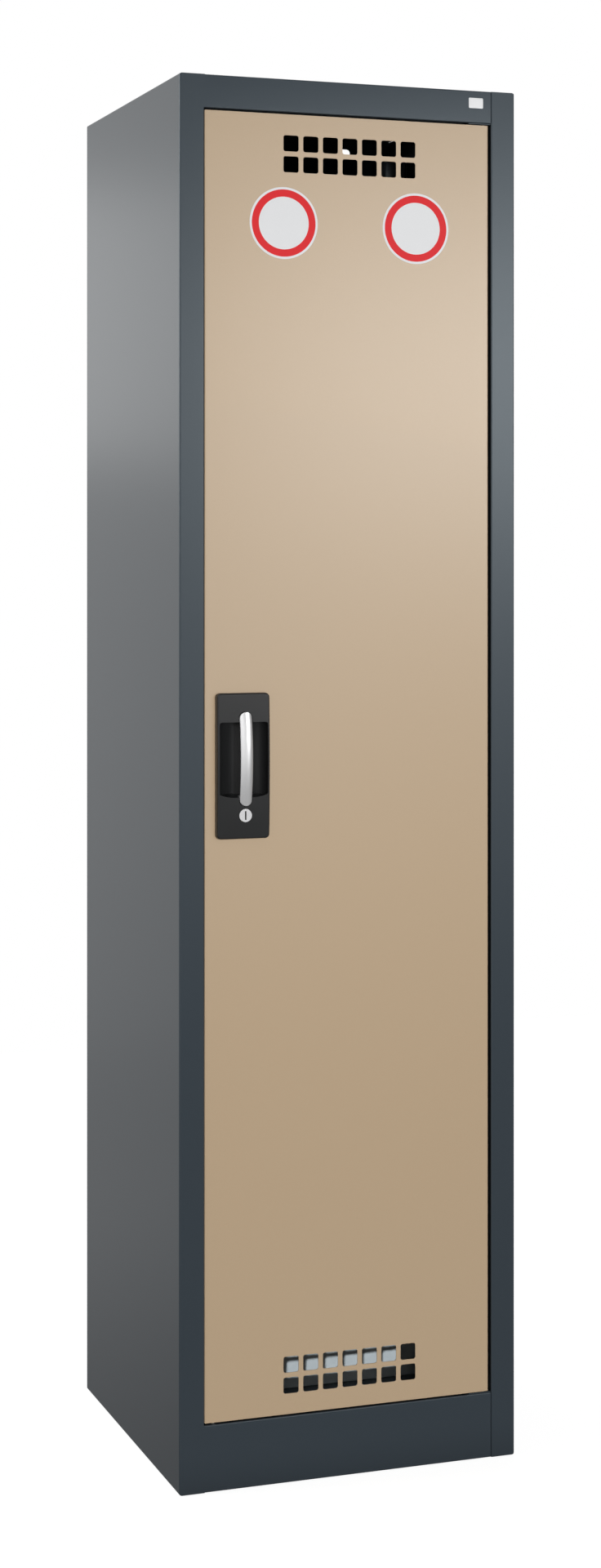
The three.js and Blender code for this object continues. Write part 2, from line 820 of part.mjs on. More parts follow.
function bowHandle() {
  const middle = (bowTop - bowBottom) / 2;
  const reach = (bowTop + bowBottom) / 2;
  const radius = (reach ** 2 + bowSagitta ** 2) / (2 * bowSagitta);
  const apex = -bowProud + bowThick / 2;
  const span = Math.asin((reach + bowThick) / radius);
  const path = new THREE.Curve();
  path.getPoint = (share) => {
    const angle = span * (2 * share - 1);
    return new THREE.Vector3(0, apex + radius * (1 - Math.cos(angle)), middle + radius * Math.sin(angle));
  };
  const oval = arc(0, 0, 1, 0, 2 * Math.PI, bowSides).slice(1);
  const section = new THREE.Shape(oval.map(({ x, y }) => point((x * bowWidth) / 2, (y * bowThick) / 2)));
  const bar = solidOf(new THREE.ExtrudeGeometry(section, { steps: bowSteps, extrudePath: path }));
  const seat = -housingProud + pocketDepth - fit;
  const ends = [
    ...arc(0, bowTop - bowWidth / 2, bowWidth / 2, 0, Math.PI, smallSides / 2),
    ...arc(0, -bowBottom + bowWidth / 2, bowWidth / 2, Math.PI, 2 * Math.PI, smallSides / 2),
  ];
  const outline = alongY(ends, -2 * bowProud, seat);
  const footBack = apex + bowSagitta;
  const feet = [
    block(-bowWidth / 2, bowWidth / 2, footBack, seat, bowTop - bowFootLength, bowTop),
    block(-bowWidth / 2, bowWidth / 2, footBack, seat, -bowBottom, -bowBottom + bowFootLength),
  ];
  return named("bow_handle", joined([bar, ...feet]).intersect(outline), silver);
}

// Lock, turned about the Y axis; its origin is on the lock's axis at the face of the door skin.
const lockFaceFront = -housingProud + crownAt(lockBelowHandle) - lockFaceProud;

function lockPlug() {
  const faceFront = lockFaceFront;
  const faceBack = faceFront + lockFaceThick;
  const tail = camBack - doorFace;
  const body = turned(
    [
      point(0, faceFront),
      point(lockFaceRadius, faceFront),
      point(lockFaceRadius, faceBack),
      point(plugRadius, faceBack),
      point(plugRadius, camFront - doorFace - fit),
      point(plugTailRadius, camFront - doorFace - fit),
      point(plugTailRadius, tail),
      point(0, tail),
    ],
    roundSides,
  );
  const slot = block(
    -keySlotWidth / 2,
    keySlotWidth / 2,
    faceFront - overrun,
    faceFront + keySlotDepth,
    -keySlotLength / 2,
    keySlotLength / 2,
  );
  return named("lock_plug", body.subtract(slot), silver);
}

function lockBarrel() {
  const start = lockFaceFront + lockFaceThick + fit;
  const end = sheet + barrelTail;
  const tube = rodAlongY(0, 0, barrelRadius, start, end, roundSides).subtract(
    rodAlongY(0, 0, plugRadius + fit, start - overrun, end + overrun, roundSides),
  );
  return named("lock_barrel", tube, zinc);
}

function lockCam() {
  const near = camFront - doorFace;
  const far = camBack - doorFace;
  const disc = rodAlongY(0, 0, camRadius, near, far, roundSides).subtract(
    rodAlongY(0, 0, plugTailRadius + fit, near - overrun, far + overrun, smallSides),
  );
  const upperPinEnd = yokeNear + yokeThick - doorFace;
  const lowerPinEnd = yokeFar + yokeThick - doorFace;
  const pins = [
    rodAlongY(-crankOffset, -crankOffset, crankPinRadius, near, upperPinEnd, smallSides),
    rodAlongY(crankOffset, crankOffset, crankPinRadius, near, lowerPinEnd, smallSides),
  ];
  return named("lock_cam", joined([disc, ...pins]), zinc);
}

function lockCamScrew() {
  const start = camBack - doorFace + fit / 2;
  return named("lock_cam_screw", rodAlongY(0, 0, camScrewRadius, start, start + camScrewHead, smallSides), zinc);
}

// A hat-shaped cover behind the cam and the yokes, open to both sides.
function lockCase() {
  const near = sheet + half;
  const far = yokeFar + yokeThick - doorFace + lockCaseGap + half;
  const wall = lockCaseHalfHeight + half;
  const line = [
    point(near, -wall - lockCaseFoot),
    point(near, -wall),
    point(far, -wall),
    point(far, wall),
    point(near, wall),
    point(near, wall + lockCaseFoot),
  ];
  const shift = crankOffset / 2;
  const shell = alongX(folded(line, sheet, bend), shift - lockCaseWidth / 2, shift + lockCaseWidth / 2);
  return named("lock_case", shell, zinc);
}

// A locking rod with its yoke. up is 1 for the upper rod and -1 for the lower one. The yoke's slot takes
// the cam's pin, and its arm carries the round bar that runs to the end of the door.
function lockingRod(name, up, tipZ) {
  const layer = up > 0 ? yokeNear : yokeFar;
  const pinZ = lockZ - up * crankOffset;
  const slotLow = crankOffset - crankPinRadius - yokeSlotGap;
  const slotHigh = crankRadius + crankPinRadius + yokeSlotGap;
  const slotFrom = handleX - up * (up > 0 ? slotHigh : slotLow);
  const slotTo = handleX - up * (up > 0 ? slotLow : slotHigh);
  const armLeft = rodX - yokeArmWidth / 2;
  const arm = block(
    armLeft,
    slotTo + yokeWall,
    layer,
    layer + yokeThick,
    pinZ - yokeHalfHeight,
    pinZ + yokeHalfHeight,
  );
  const slot = block(
    slotFrom,
    slotTo,
    layer - overrun,
    layer + overrun,
    pinZ - crankPinRadius - yokeSlotGap,
    pinZ + crankPinRadius + yokeSlotGap,
  );
  const lugStart = lockZ + up * rodStartFromLock;
  const lugEnd = lugStart + up * rodLugLength;
  const strapFrom = pinZ - up * yokeHalfHeight;
  const strap = block(
    armLeft,
    armLeft + yokeArmWidth,
    layer,
    layer + yokeThick,
    Math.min(strapFrom, lugEnd),
    Math.max(strapFrom, lugEnd),
  );
  const lug = block(
    armLeft,
    armLeft + yokeArmWidth,
    rodY,
    layer + yokeThick,
    Math.min(lugStart, lugEnd),
    Math.max(lugStart, lugEnd),
  );
  const barEnd = tipZ - up * rodTipLength;
  const bar = rodAlongZ(
    rodX,
    rodY,
    rodRadius,
    Math.min(lugStart, barEnd),
    Math.max(lugStart, barEnd),
    smallSides,
  );
  return named(name, joined([arm.subtract(slot), strap, lug, bar]), zinc);
}

function rodTip(name, up, tipZ) {
  const length = rodTipLength - fit;
  const profile = [
    point(0, -length),
    point(rodRadius, -length),
    point(rodRadius, -rodTipDome),
    point(rodRadius * Math.SQRT1_2, -rodTipDome * (1 - Math.SQRT1_2)),
    point(0, 0),
  ];
  const mesh = named(name, turned(profile, smallSides), nylon);
  mesh.rotation.x = (up * Math.PI) / 2;
  mesh.position.set(rodX, rodY, tipZ);
  return mesh;
}

// A saddle that holds a rod against the door skin.
function rodGuide(name, z) {
  const grooveRadius = rodRadius + fit;
  const backY = rodY + grooveRadius + guideBack;
  const body = block(-guideWidth / 2, guideWidth / 2, skinBack, backY, -guideHeight / 2, guideHeight / 2);
  const groove = rodAlongZ(0, rodY, grooveRadius, -guideHeight, guideHeight, smallSides).add(
    block(-grooveRadius, grooveRadius, skinBack - overrun, rodY, -guideHeight, guideHeight),
  );
  const mesh = named(name, body.subtract(groove), nylon);
  mesh.position.set(rodX, 0, z);
  return mesh;
}

// A plate behind the frame's sheet, with the hole that a rod tip enters.
function keeper(name, frameZ, up) {
  const near = frameZ + up * sheet;
  const far = near + up * keeperThick;
  const low = Math.min(near, far);
  const high = Math.max(near, far);
  const plate = block(
    rodX - keeperLength / 2,
    rodX + keeperLength / 2,
    front + keeperFromFront,
    front + keeperFromFront + keeperDepth,
    low,
    high,
  );
  const hole = rodAlongZ(rodX, rodY, rodRadius + rodHoleGap, low - overrun, high + overrun, smallSides);
  return named(name, plate.subtract(hole), zinc);
}

function doorBuffer(name, z) {
  const face = front + railReturn - sheet;
  const pad = rodAlongY(-openingSide + bufferFromEdge, z, bufferRadius, face - bufferLength, face, smallSides);
  return named(name, pad, rubber);
}

function housingScrew(name, z) {
  return named(
    name,
    rodAlongY(-housingShift, z, housingScrewRadius, sheet, sheet + housingScrewHead, smallSides),
    zinc,
  );
}

// The cabinet that stands still.
const cabinet = new THREE.Group();
cabinet.add(sidePanel("left_side", -1), sidePanel("right_side", 1));
cabinet.add(topPanel(), floorPanel(), rearPanel());
const railRows = [
  ["front", front + railFromFront],
  ["rear", back - railFromBack],
];
const hands = [
  ["left", -1],
  ["right", 1],
];
for (const [handName, hand] of hands) {
  for (const [rowName, middleY] of railRows) {
    cabinet.add(shelfRail("shelf_rail_" + handName + "_" + rowName, hand, middleY));
  }
}
const trayDepth = depth - trayFromFront - trayFromBack;
const trayMiddle = front + trayFromFront + trayDepth / 2;
shelfShares.forEach((share, index) => {
  const z = slotZ(Math.round(share * (slotCount - 1)));
  const label = "shelf_" + (index + 1);
  const shelf = tray(label, trayDepth, trayHeight);
  shelf.position.set(0, trayMiddle, z + bracketSheet / 2);
  cabinet.add(shelf);
  for (const [handName, hand] of hands) {
    for (const [rowName, middleY] of railRows) {
      cabinet.add(shelfBracket(label + "_bracket_" + handName + "_" + rowName, hand, middleY, z));
    }
  }
});
const sumpDepth = depth - sumpFromFront - trayFromBack;
const sump = tray("floor_sump", sumpDepth, sumpHeight);
sump.position.set(0, front + sumpFromFront + sumpDepth / 2, floorTop);
cabinet.add(sump);
cabinet.add(hingePlate("hinge_plate_upper", openingTop, -1), hingePlate("hinge_plate_lower", plinthHeight, 1));
cabinet.add(hingePin("hinge_pin_upper", openingTop, -1, doorTop));
cabinet.add(hingePin("hinge_pin_lower", plinthHeight, 1, doorBottom));
cabinet.add(keeper("rod_keeper_upper", openingTop, 1), keeper("rod_keeper_lower", plinthHeight, -1));
cabinet.add(doorBuffer("door_buffer_upper", openingTop - stopHeight / 2 - sheet));
cabinet.add(doorBuffer("door_buffer_lower", plinthHeight + stopHeight / 2));

// The door and what is fixed to it.
const door = new THREE.Group();
door.add(doorPanel(), doorStiffener());
door.add(hingeBush("hinge_bush_upper", doorTop, -1), hingeBush("hinge_bush_lower", doorBottom, 1));
door.add(rodGuide("rod_guide_top", doorTop - guideFromEnd), rodGuide("rod_guide_upper", lockZ + guideFromLock));
door.add(rodGuide("rod_guide_lower", lockZ - guideFromLock));
door.add(rodGuide("rod_guide_bottom", doorBottom + guideFromEnd));
const handle = new THREE.Group();
handle.position.set(handleX, doorFace, handleZ);
handle.add(handleHousing(), bowHandle());
handle.add(housingScrew("housing_screw_upper", housingHeight / 2 - housingScrewInset));
handle.add(housingScrew("housing_screw_lower", -housingHeight / 2 + housingScrewInset));
door.add(handle);
const lockSeat = new THREE.Group();
lockSeat.position.set(handleX, doorFace, lockZ);
lockSeat.add(lockBarrel(), lockCase());
door.add(lockSeat);

// The turning part of the lock.
const lock = new THREE.Group();
lock.position.set(handleX, doorFace, lockZ);
lock.add(lockPlug(), lockCam(), lockCamScrew());

// The two sliding rods, drawn back as they stand when the door is unlocked.
const upperTipZ = openingTop - upperRodGap;
const lowerTipZ = plinthHeight + lowerRodGap;
const rods = new THREE.Group();
rods.add(lockingRod("upper_rod", 1, upperTipZ), rodTip("upper_rod_tip", 1, upperTipZ));
rods.add(lockingRod("lower_rod", -1, lowerTipZ), rodTip("lower_rod_tip", -1, lowerTipZ));

const group = new THREE.Group();
group.add(cabinet, door, lock, rods);

export default group;
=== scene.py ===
import json
import math

import bmesh
import bpy
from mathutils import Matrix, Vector

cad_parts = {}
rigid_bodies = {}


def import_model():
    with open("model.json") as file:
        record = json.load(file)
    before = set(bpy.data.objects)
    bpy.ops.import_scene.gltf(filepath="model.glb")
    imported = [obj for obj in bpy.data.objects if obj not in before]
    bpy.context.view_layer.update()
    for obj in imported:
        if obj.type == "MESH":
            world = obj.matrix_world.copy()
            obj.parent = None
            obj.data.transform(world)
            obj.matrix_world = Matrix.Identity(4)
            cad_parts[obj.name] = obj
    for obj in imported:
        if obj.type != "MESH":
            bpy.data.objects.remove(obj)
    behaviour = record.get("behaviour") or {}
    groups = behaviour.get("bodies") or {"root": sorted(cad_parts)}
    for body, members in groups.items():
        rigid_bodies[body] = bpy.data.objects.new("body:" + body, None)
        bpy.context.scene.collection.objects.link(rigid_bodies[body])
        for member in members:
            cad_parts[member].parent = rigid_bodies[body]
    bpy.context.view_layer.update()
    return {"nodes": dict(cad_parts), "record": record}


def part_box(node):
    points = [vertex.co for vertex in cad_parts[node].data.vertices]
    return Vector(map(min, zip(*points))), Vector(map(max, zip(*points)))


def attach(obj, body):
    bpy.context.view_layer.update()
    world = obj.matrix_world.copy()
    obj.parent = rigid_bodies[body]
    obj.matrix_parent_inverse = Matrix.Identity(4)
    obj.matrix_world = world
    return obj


# A factory start can bring objects of its own; the scene starts without them.
for old in list(bpy.data.objects):
    bpy.data.objects.remove(old, do_unlink=True)

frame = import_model()
NODES = frame["nodes"]
SCENE = bpy.context.scene

MM = 0.001

# Places taken from the frame

DOOR_LOW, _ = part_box("door_panel")
RAIL_LOW, RAIL_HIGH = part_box("top_panel")
_, POST_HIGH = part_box("left_side")
PLUG_LOW, PLUG_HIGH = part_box("lock_plug")
LOCK_AXIS = (PLUG_LOW + PLUG_HIGH) / 2

# Edges of the CAD nodes, in metres and radians

WELD_DISTANCE = 0.002 * MM
SMOOTH_ANGLE = math.radians(38)
FLAT_ANGLE = math.radians(0.5)
BEVEL_ANGLE = math.radians(48)
BEVEL_SEGMENTS = 2
BEVEL_GROUPS = (
    (0.15 * MM, ("lock_case", "upper_rod", "lower_rod", "shelf_1", "shelf_2", "shelf_3", "floor_sump")),
    (0.2 * MM, ("lock_cam", "hinge_plate_upper", "hinge_plate_lower")),
    (0.2 * MM, ("rod_keeper_upper", "rod_keeper_lower")),
    (0.25 * MM, ("lock_plug",)),
    (0.4 * MM, ("rod_guide_top", "rod_guide_upper", "rod_guide_lower", "rod_guide_bottom")),
    (0.5 * MM, ("handle_housing",)),
    (0.6 * MM, ("door_buffer_upper", "door_buffer_lower")),
)
BEVELS = {name: width for width, names in BEVEL_GROUPS for name in names}

# Round labels on the door

LABEL_RADIUS = 50 * MM
LABEL_THICKNESS = 0.25 * MM
LABEL_LEVEL = 1750 * MM
LABEL_PLACES = {"left": -98 * MM, "right": 99 * MM}
LABEL_SIDES = 128
FAN_RADIUS = 0.45 * LABEL_RADIUS
PALE_RADIUS = 0.732 * LABEL_RADIUS
RED_RADIUS = 0.935 * LABEL_RADIUS
EDGE_ROUND = 0.12 * MM
EDGE_HEIGHT = 0.45 * LABEL_THICKNESS

# Bare plate at the right end of the top rail

PLATE_CENTRE = (190.3 * MM, 1932.4 * MM)
PLATE_WIDTH = 22.1 * MM
PLATE_HEIGHT = 15.1 * MM
PLATE_CORNER = 1.6 * MM
CORNER_STEPS = 6
# Each layer of points: its inset from the outline and its height over the rail.
PLATE_LAYERS = ((0.0, 0.0), (0.0, 0.45 * MM), (0.25 * MM, 0.65 * MM), (0.6 * MM, 0.7 * MM))

# Painted shade: a near-black box inside the keyway

# Half its width and height, and the depths of its near and far side behind the lock's face.
KEYWAY_REACH = Vector((0.96 * MM, 0, 5.96 * MM))
KEYWAY_NEAR = 0.3 * MM
KEYWAY_FAR = 1.45 * MM

# Filler of the two grooves beside the left post

RAIL_HEIGHT = 46 * MM
PLINTH_HEIGHT = 92.5 * MM
# How far it reaches to both sides of the post's edge, in front of the rails and behind their front.
FILLER_LEFT = 2.6 * MM
FILLER_RIGHT = 0.5 * MM
FILLER_PROUD = 0.01 * MM
FILLER_DEPTH = 0.9 * MM

# Room that a gloss sees

# The floor changes between these places, in metres from front to back.
FLOOR_CHANGE = (-0.5, 1.5)
# The backdrop and the left wall begin and are full at these parts of a ray's direction, from -1 to 1.
BACKDROP_TURN = (-0.3, 0.7)
BACKDROP_RISE = (-0.38, 0.12)
WALL_TURN = (0.12, -0.25)
WALL_RISE = (-0.38, 0.14)

# Camera, solved from the cabinet's edges in the photograph

CAMERA_PLACE = (-1.3038, -3.7806, 1.3013)
CAMERA_TURN = math.radians(20.019)
CAMERA_LENS = 61.825
CAMERA_SHIFT = (-0.0260, -0.1518)
SENSOR_WIDTH = 36.0
CLIP_NEAR = 0.05
CLIP_FAR = 60.0


# Node helpers

# Most of a noise node's values lie in this span, and a pattern node's fill the whole one.
NOISE_SPAN = (0.3, 0.7)
WHOLE_SPAN = (0.0, 1.0)


class Graph:
    """Adds the nodes of one material, world or node group, which starts empty."""

    def __init__(self, tree):
        self.tree = tree
        tree.nodes.clear()

    def fill(self, node, inputs):
        """Sets a node's inputs, given by name or by place, or links them where an output is given."""
        for key, value in inputs.items():
            if isinstance(value, bpy.types.NodeSocket):
                self.tree.links.new(value, node.inputs[key])
            else:
                node.inputs[key].default_value = value

    def add(self, kind, inputs, **properties):
        """Adds a node with these properties and inputs and returns its outputs."""
        node = self.tree.nodes.new(kind)
        for key, value in properties.items():
            setattr(node, key, value)
        self.fill(node, inputs)
        return node.outputs

    def ranged(self, source, low, high, span=NOISE_SPAN, curve="LINEAR"):
        """A number that runs from low to high while the source runs over the span."""
        values = {"Value": source, "From Min": span[0], "From Max": span[1], "To Min": low, "To Max": high}
        return self.add("ShaderNodeMapRange", values, interpolation_type=curve)["Result"]

    def blended(self, factor, first, second):
        """A number between two others."""
        return self.add("ShaderNodeMix", {0: factor, 2: first, 3: second}, data_type="FLOAT")[0]

    def mixed_shader(self, factor, first, second):
        return self.add("ShaderNodeMixShader", {0: factor, 1: first, 2: second})[0]

    def ray_kind(self, *kinds):
        """1 for the kinds of ray named, such as Camera or Glossy, and 0 for the others."""
        path = self.add("ShaderNodeLightPath", {})
        found = path["Is " + kinds[0] + " Ray"]
        for kind in kinds[1:]:
            both = {0: found, 1: path["Is " + kind + " Ray"]}
            found = self.add("ShaderNodeMath", both, operation="MAXIMUM")[0]
        return found


class Surface(Graph):
    """A material round one Principled shader."""

    def __init__(self, name):
        self.material = bpy.data.materials.new(name)
        self.material.use_nodes = True
        super().__init__(self.material.node_tree)
        self.place = self.add("ShaderNodeTexCoord", {})["Object"]

    def mapped(self, scale=(1, 1, 1), location=(0, 0, 0)):
        values = {"Vector": self.place, "Scale": scale, "Location": location}
        return self.add("ShaderNodeMapping", values)["Vector"]

    def noise(self, scale, detail, roughness=0.5, stretch=(1, 1, 1)):
        values = {"Vector": self.mapped(stretch), "Scale": scale, "Detail": detail, "Roughness": roughness}
        return self.add("ShaderNodeTexNoise", values)["Fac"]

    def mixed(self, source, first, second, span=NOISE_SPAN):
        """A colour that runs from the first to the second while the source runs over the span."""
        ramp = self.tree.nodes.new("ShaderNodeValToRGB")
        for element, position, colour in zip(ramp.color_ramp.elements, span, (first, second)):
            element.position = position
            element.color = (*colour, 1)
        self.fill(ramp, {"Fac": source})
        return ramp.outputs["Color"]

    def bump(self, source, distance, strength, over=None):
        """Relief of the given height in metres, over another relief where one is given."""
        values = {"Strength": strength, "Distance": distance, "Height": source}
        if over is not None:
            values["Normal"] = over
        return self.add("ShaderNodeBump", values)["Normal"]

    def finished(self, inputs):
        """Makes the shader with these inputs and returns the material."""
        shader = self.add("ShaderNodeBsdfPrincipled", inputs)
        self.add("ShaderNodeOutputMaterial", {"Surface": shader["BSDF"]})
        return self.material


def shade(colour, factor):
    return tuple(min(1.0, channel * factor) for channel in colour)


def grey(level):
    return (level, level, level)


# Materials

def powder_coat(name, colour, roughness, specular, tint=(1, 1, 1)):
    """Sprayed powder paint: an orange-peel skin with a little uneven gloss and tone."""
    surface = Surface(name)
    cloud = surface.mixed(surface.noise(scale=1.1, detail=0), shade(colour, 0.992), shade(colour, 1.008))
    speck = surface.mixed(surface.noise(scale=1400, detail=1), grey(0.97), grey(1.025))
    tones = {"Factor": 1.0, "A": cloud, "B": speck}
    tone = surface.add("ShaderNodeMix", tones, data_type="RGBA", blend_type="MULTIPLY")["Result"]
    sheen = surface.noise(scale=700, detail=1)
    peel = surface.bump(surface.noise(scale=520, detail=1), distance=0.012 * MM, strength=0.6)
    fine = surface.noise(scale=2600, detail=1)
    return surface.finished(
        {
            "Base Color": tone,
            "Roughness": surface.ranged(sheen, roughness - 0.012, roughness + 0.012),
            "Normal": surface.bump(fine, distance=0.004 * MM, strength=0.5, over=peel),
            "Specular IOR Level": specular,
            "Specular Tint": (*tint, 1),
        }
    )


def galvanised_sheet(name):
    """Dull galvanised sheet with a pale spangle and faint rolling lines."""
    surface = Surface(name)
    cells = surface.add("ShaderNodeTexVoronoi", {"Vector": surface.mapped(), "Scale": 95}, feature="F1")
    cell = surface.add("ShaderNodeSeparateColor", {"Color": cells["Color"]})
    rolled = surface.noise(scale=60, detail=3, stretch=(40, 1, 1))
    lines = surface.bump(rolled, distance=0.01 * MM, strength=0.5)
    darker = (0.475, 0.535, 0.565)
    lighter = (0.505, 0.565, 0.595)
    return surface.finished(
        {
            "Base Color": surface.mixed(cell["Red"], darker, lighter, WHOLE_SPAN),
            "Roughness": surface.ranged(cell["Green"], 0.50, 0.60, WHOLE_SPAN),
            "Normal": surface.bump(cell["Blue"], distance=0.002 * MM, strength=0.5, over=lines),
            "Specular IOR Level": 0.25,
        }
    )


def zinc_steel(name):
    """Bright zinc plating with fine drawing lines and a faint tint."""
    surface = Surface(name)
    cloud = surface.noise(scale=70, detail=2)
    drawn = surface.noise(scale=900, detail=2, stretch=(1, 1, 0.03))
    return surface.finished(
        {
            "Base Color": surface.mixed(cloud, (0.50, 0.53, 0.56), (0.60, 0.59, 0.54)),
            "Roughness": surface.ranged(drawn, 0.24, 0.42),
            "Normal": surface.bump(drawn, distance=0.01 * MM, strength=0.6),
            "Metallic": 1.0,
        }
    )


def black_plastic(name):
    """Moulded black plastic with a fine spark-eroded grain."""
    surface = Surface(name)
    cloud = surface.noise(scale=14, detail=3)
    grain = surface.noise(scale=2300, detail=2, roughness=0.6)
    return surface.finished(
        {
            "Base Color": surface.mixed(cloud, (0.0098, 0.0102, 0.0106), (0.0118, 0.0122, 0.0127)),
            "Roughness": surface.ranged(grain, 0.33, 0.40),
            "Normal": surface.bump(grain, distance=0.02 * MM, strength=0.5),
            "Specular IOR Level": 0.38,
        }
    )


def satin_silver(name, colour, roughness, metallic, stretch):
    """Satin plated metal with fine polishing lines."""
    surface = Surface(name)
    lines = surface.noise(scale=3600, detail=1, stretch=stretch)
    return surface.finished(
        {
            "Base Color": surface.mixed(lines, shade(colour, 0.985), shade(colour, 1.015)),
            "Roughness": surface.ranged(lines, roughness - 0.02, roughness + 0.02),
            "Normal": surface.bump(lines, distance=0.0015 * MM, strength=0.4),
            "Metallic": metallic,
        }
    )


def turned_silver(name, axis):
    """Plated lock metal with turning marks round the lock's axis."""
    surface = Surface(name)
    values = {"Vector": surface.mapped(location=(-axis.x, 0, -axis.z)), "Scale": 620, "Distortion": 0.4}
    rings = surface.add("ShaderNodeTexWave", values, wave_type="RINGS", rings_direction="Y")["Fac"]
    return surface.finished(
        {
            "Base Color": surface.mixed(rings, (0.60, 0.60, 0.61), (0.67, 0.67, 0.68), WHOLE_SPAN),
            "Roughness": surface.ranged(rings, 0.27, 0.38, WHOLE_SPAN),
            "Normal": surface.bump(rings, distance=0.008 * MM, strength=0.4),
            "Metallic": 0.35,
        }
    )


def white_nylon(name):
    """Natural nylon, a little cloudy."""
    surface = Surface(name)
    cloud = surface.noise(scale=120, detail=2)
    grain = surface.noise(scale=1800, detail=1)
    return surface.finished(
        {
            "Base Color": surface.mixed(cloud, (0.80, 0.80, 0.77), (0.87, 0.87, 0.845)),
            "Roughness": surface.ranged(grain, 0.38, 0.48),
            "Normal": surface.bump(grain, distance=0.01 * MM, strength=0.5),
        }
    )


def black_rubber(name):
    """Dull rubber with a coarse skin."""
    surface = Surface(name)
    cloud = surface.noise(scale=90, detail=2)
    grain = surface.noise(scale=1600, detail=3)
    return surface.finished(
        {
            "Base Color": surface.mixed(cloud, grey(0.014), (0.022, 0.022, 0.021)),
            "Roughness": surface.ranged(grain, 0.72, 0.88),
            "Normal": surface.bump(grain, distance=0.04 * MM, strength=0.6),
        }
    )


def vinyl(name, colour, specular):
    """Printed film: an even colour with a faint press grain under a soft gloss."""
    surface = Surface(name)
    grain = surface.noise(scale=3200, detail=1)
    skin = surface.noise(scale=240, detail=2)
    return surface.finished(
        {
            "Base Color": surface.mixed(grain, shade(colour, 0.97), shade(colour, 1.03)),
            "Roughness": surface.ranged(skin, 0.31, 0.37),
            "Normal": surface.bump(skin, distance=0.006 * MM, strength=0.5),
            "Specular IOR Level": specular,
        }
    )


def keyway_shade_paint(name):
    """A near-black surface that paints the shade inside the keyway."""
    surface = Surface(name)
    grain = surface.noise(scale=1500, detail=2)
    return surface.finished(
        {
            "Base Color": surface.mixed(grain, grey(0.010), (0.020, 0.019, 0.018)),
            "Roughness": surface.ranged(grain, 0.5, 0.7),
        }
    )


UPRIGHT_LINES = (1, 1, 0.05)
LEVEL_LINES = (0.05, 1, 1)

ANTHRACITE = powder_coat("anthracite_paint_coat", (0.030, 0.0395, 0.049), 0.29, 0.5, (0.87, 0.955, 1.0))
BEIGE = powder_coat("beige_paint_coat", (0.457, 0.339, 0.219), 0.31, 0.75)
GALVANISED = galvanised_sheet("galvanised_sheet_metal")
ZINC = zinc_steel("zinc_steel_metal")
PLASTIC = black_plastic("black_plastic_grain")
BOW = satin_silver("bow_silver", (0.715, 0.715, 0.72), 0.34, 0.7, UPRIGHT_LINES)
LOCK_FACE = turned_silver("lock_silver", LOCK_AXIS)
NYLON = white_nylon("nylon")
RUBBER = black_rubber("rubber")
# Painted shade: the keyway's inside is drawn near-black.
KEYWAY_SHADE = keyway_shade_paint("keyway_dark")
FILM_WHITE = vinyl("film_white", (0.74, 0.74, 0.76), 0.2)
FILM_RED = vinyl("film_red", (0.70, 0.027, 0.033), 0.1)
FILM_PALE = vinyl("film_pale", (0.74, 0.745, 0.755), 0.2)
PLATE = satin_silver("plate_silver", (0.57, 0.575, 0.58), 0.38, 0.9, LEVEL_LINES)
BLACKENED = satin_silver("blackened_steel", (0.045, 0.047, 0.05), 0.42, 1.0, UPRIGHT_LINES)

# The looks of the record's material slots
FINISHES = {
    "anthracite_paint": ANTHRACITE,
    "beige_paint": BEIGE,
    "galvanised_sheet": GALVANISED,
    "zinc_steel": ZINC,
    "black_plastic": PLASTIC,
    "white_nylon": NYLON,
    "silver_metal": BOW,
    "black_rubber": RUBBER,
}


# Modifiers and paint of the CAD nodes

def modifier_group(name):
    """An empty group for a modifier, and the mesh that comes into it."""
    group = Graph(bpy.data.node_groups.new(name, "GeometryNodeTree"))
    for direction in ("INPUT", "OUTPUT"):
        group.tree.interface.new_socket("Geometry", in_out=direction, socket_type="NodeSocketGeometry")
    return group, group.add("NodeGroupInput", {})["Geometry"]


def prepare_group():
    """Joins the loose triangles of a node into one closed skin and drops its stored normals."""
    group, mesh = modifier_group("prepare_skin")
    bare = group.add("GeometryNodeRemoveAttribute", {"Geometry": mesh, "Name": "custom_normal"})
    skin = {"Geometry": bare["Geometry"], "Distance": WELD_DISTANCE}
    group.add("NodeGroupOutput", {"Geometry": group.add("GeometryNodeMergeByDistance", skin)["Geometry"]})
    return group.tree


def smooth_group():
    """Smooth shading, with the edges that are sharper than SMOOTH_ANGLE kept sharp."""
    group, mesh = modifier_group("smooth_skin")
    faces = group.add("GeometryNodeSetShadeSmooth", {"Geometry": mesh}, domain="FACE")["Geometry"]
    angle = group.add("GeometryNodeInputMeshEdgeAngle", {})["Unsigned Angle"]
    compared = {0: angle, 1: SMOOTH_ANGLE}
    below = group.add("FunctionNodeCompare", compared, data_type="FLOAT", operation="LESS_EQUAL")[0]
    edges = {"Geometry": faces, "Shade Smooth": below}
    shaded = group.add("GeometryNodeSetShadeSmooth", edges, domain="EDGE")["Geometry"]
    group.add("NodeGroupOutput", {"Geometry": shaded})
    return group.tree


PREPARE = prepare_group()
SMOOTH = smooth_group()


def shade_smoothly(obj):
    obj.modifiers.new("shading", "NODES").node_group = SMOOTH


def keep_flats_flat(obj):
    """Lets large flat faces rule the normals, so that a bend beside them doesn't tilt their gloss."""
    weights = obj.modifiers.new("normals", "WEIGHTED_NORMAL")
    weights.mode = "FACE_AREA"
    weights.weight = 100
    weights.keep_sharp = True


def round_edges(obj, width):
    """Small rounded edges, on faces that are first made whole."""
    dissolve = obj.modifiers.new("flat_faces", "DECIMATE")
    dissolve.decimate_type = "DISSOLVE"
    dissolve.angle_limit = FLAT_ANGLE
    edge = obj.modifiers.new("edges", "BEVEL")
    edge.width = width
    edge.segments = BEVEL_SEGMENTS
    edge.limit_method = "ANGLE"
    edge.angle_limit = BEVEL_ANGLE
    edge.use_clamp_overlap = True
    edge.miter_outer = "MITER_ARC"


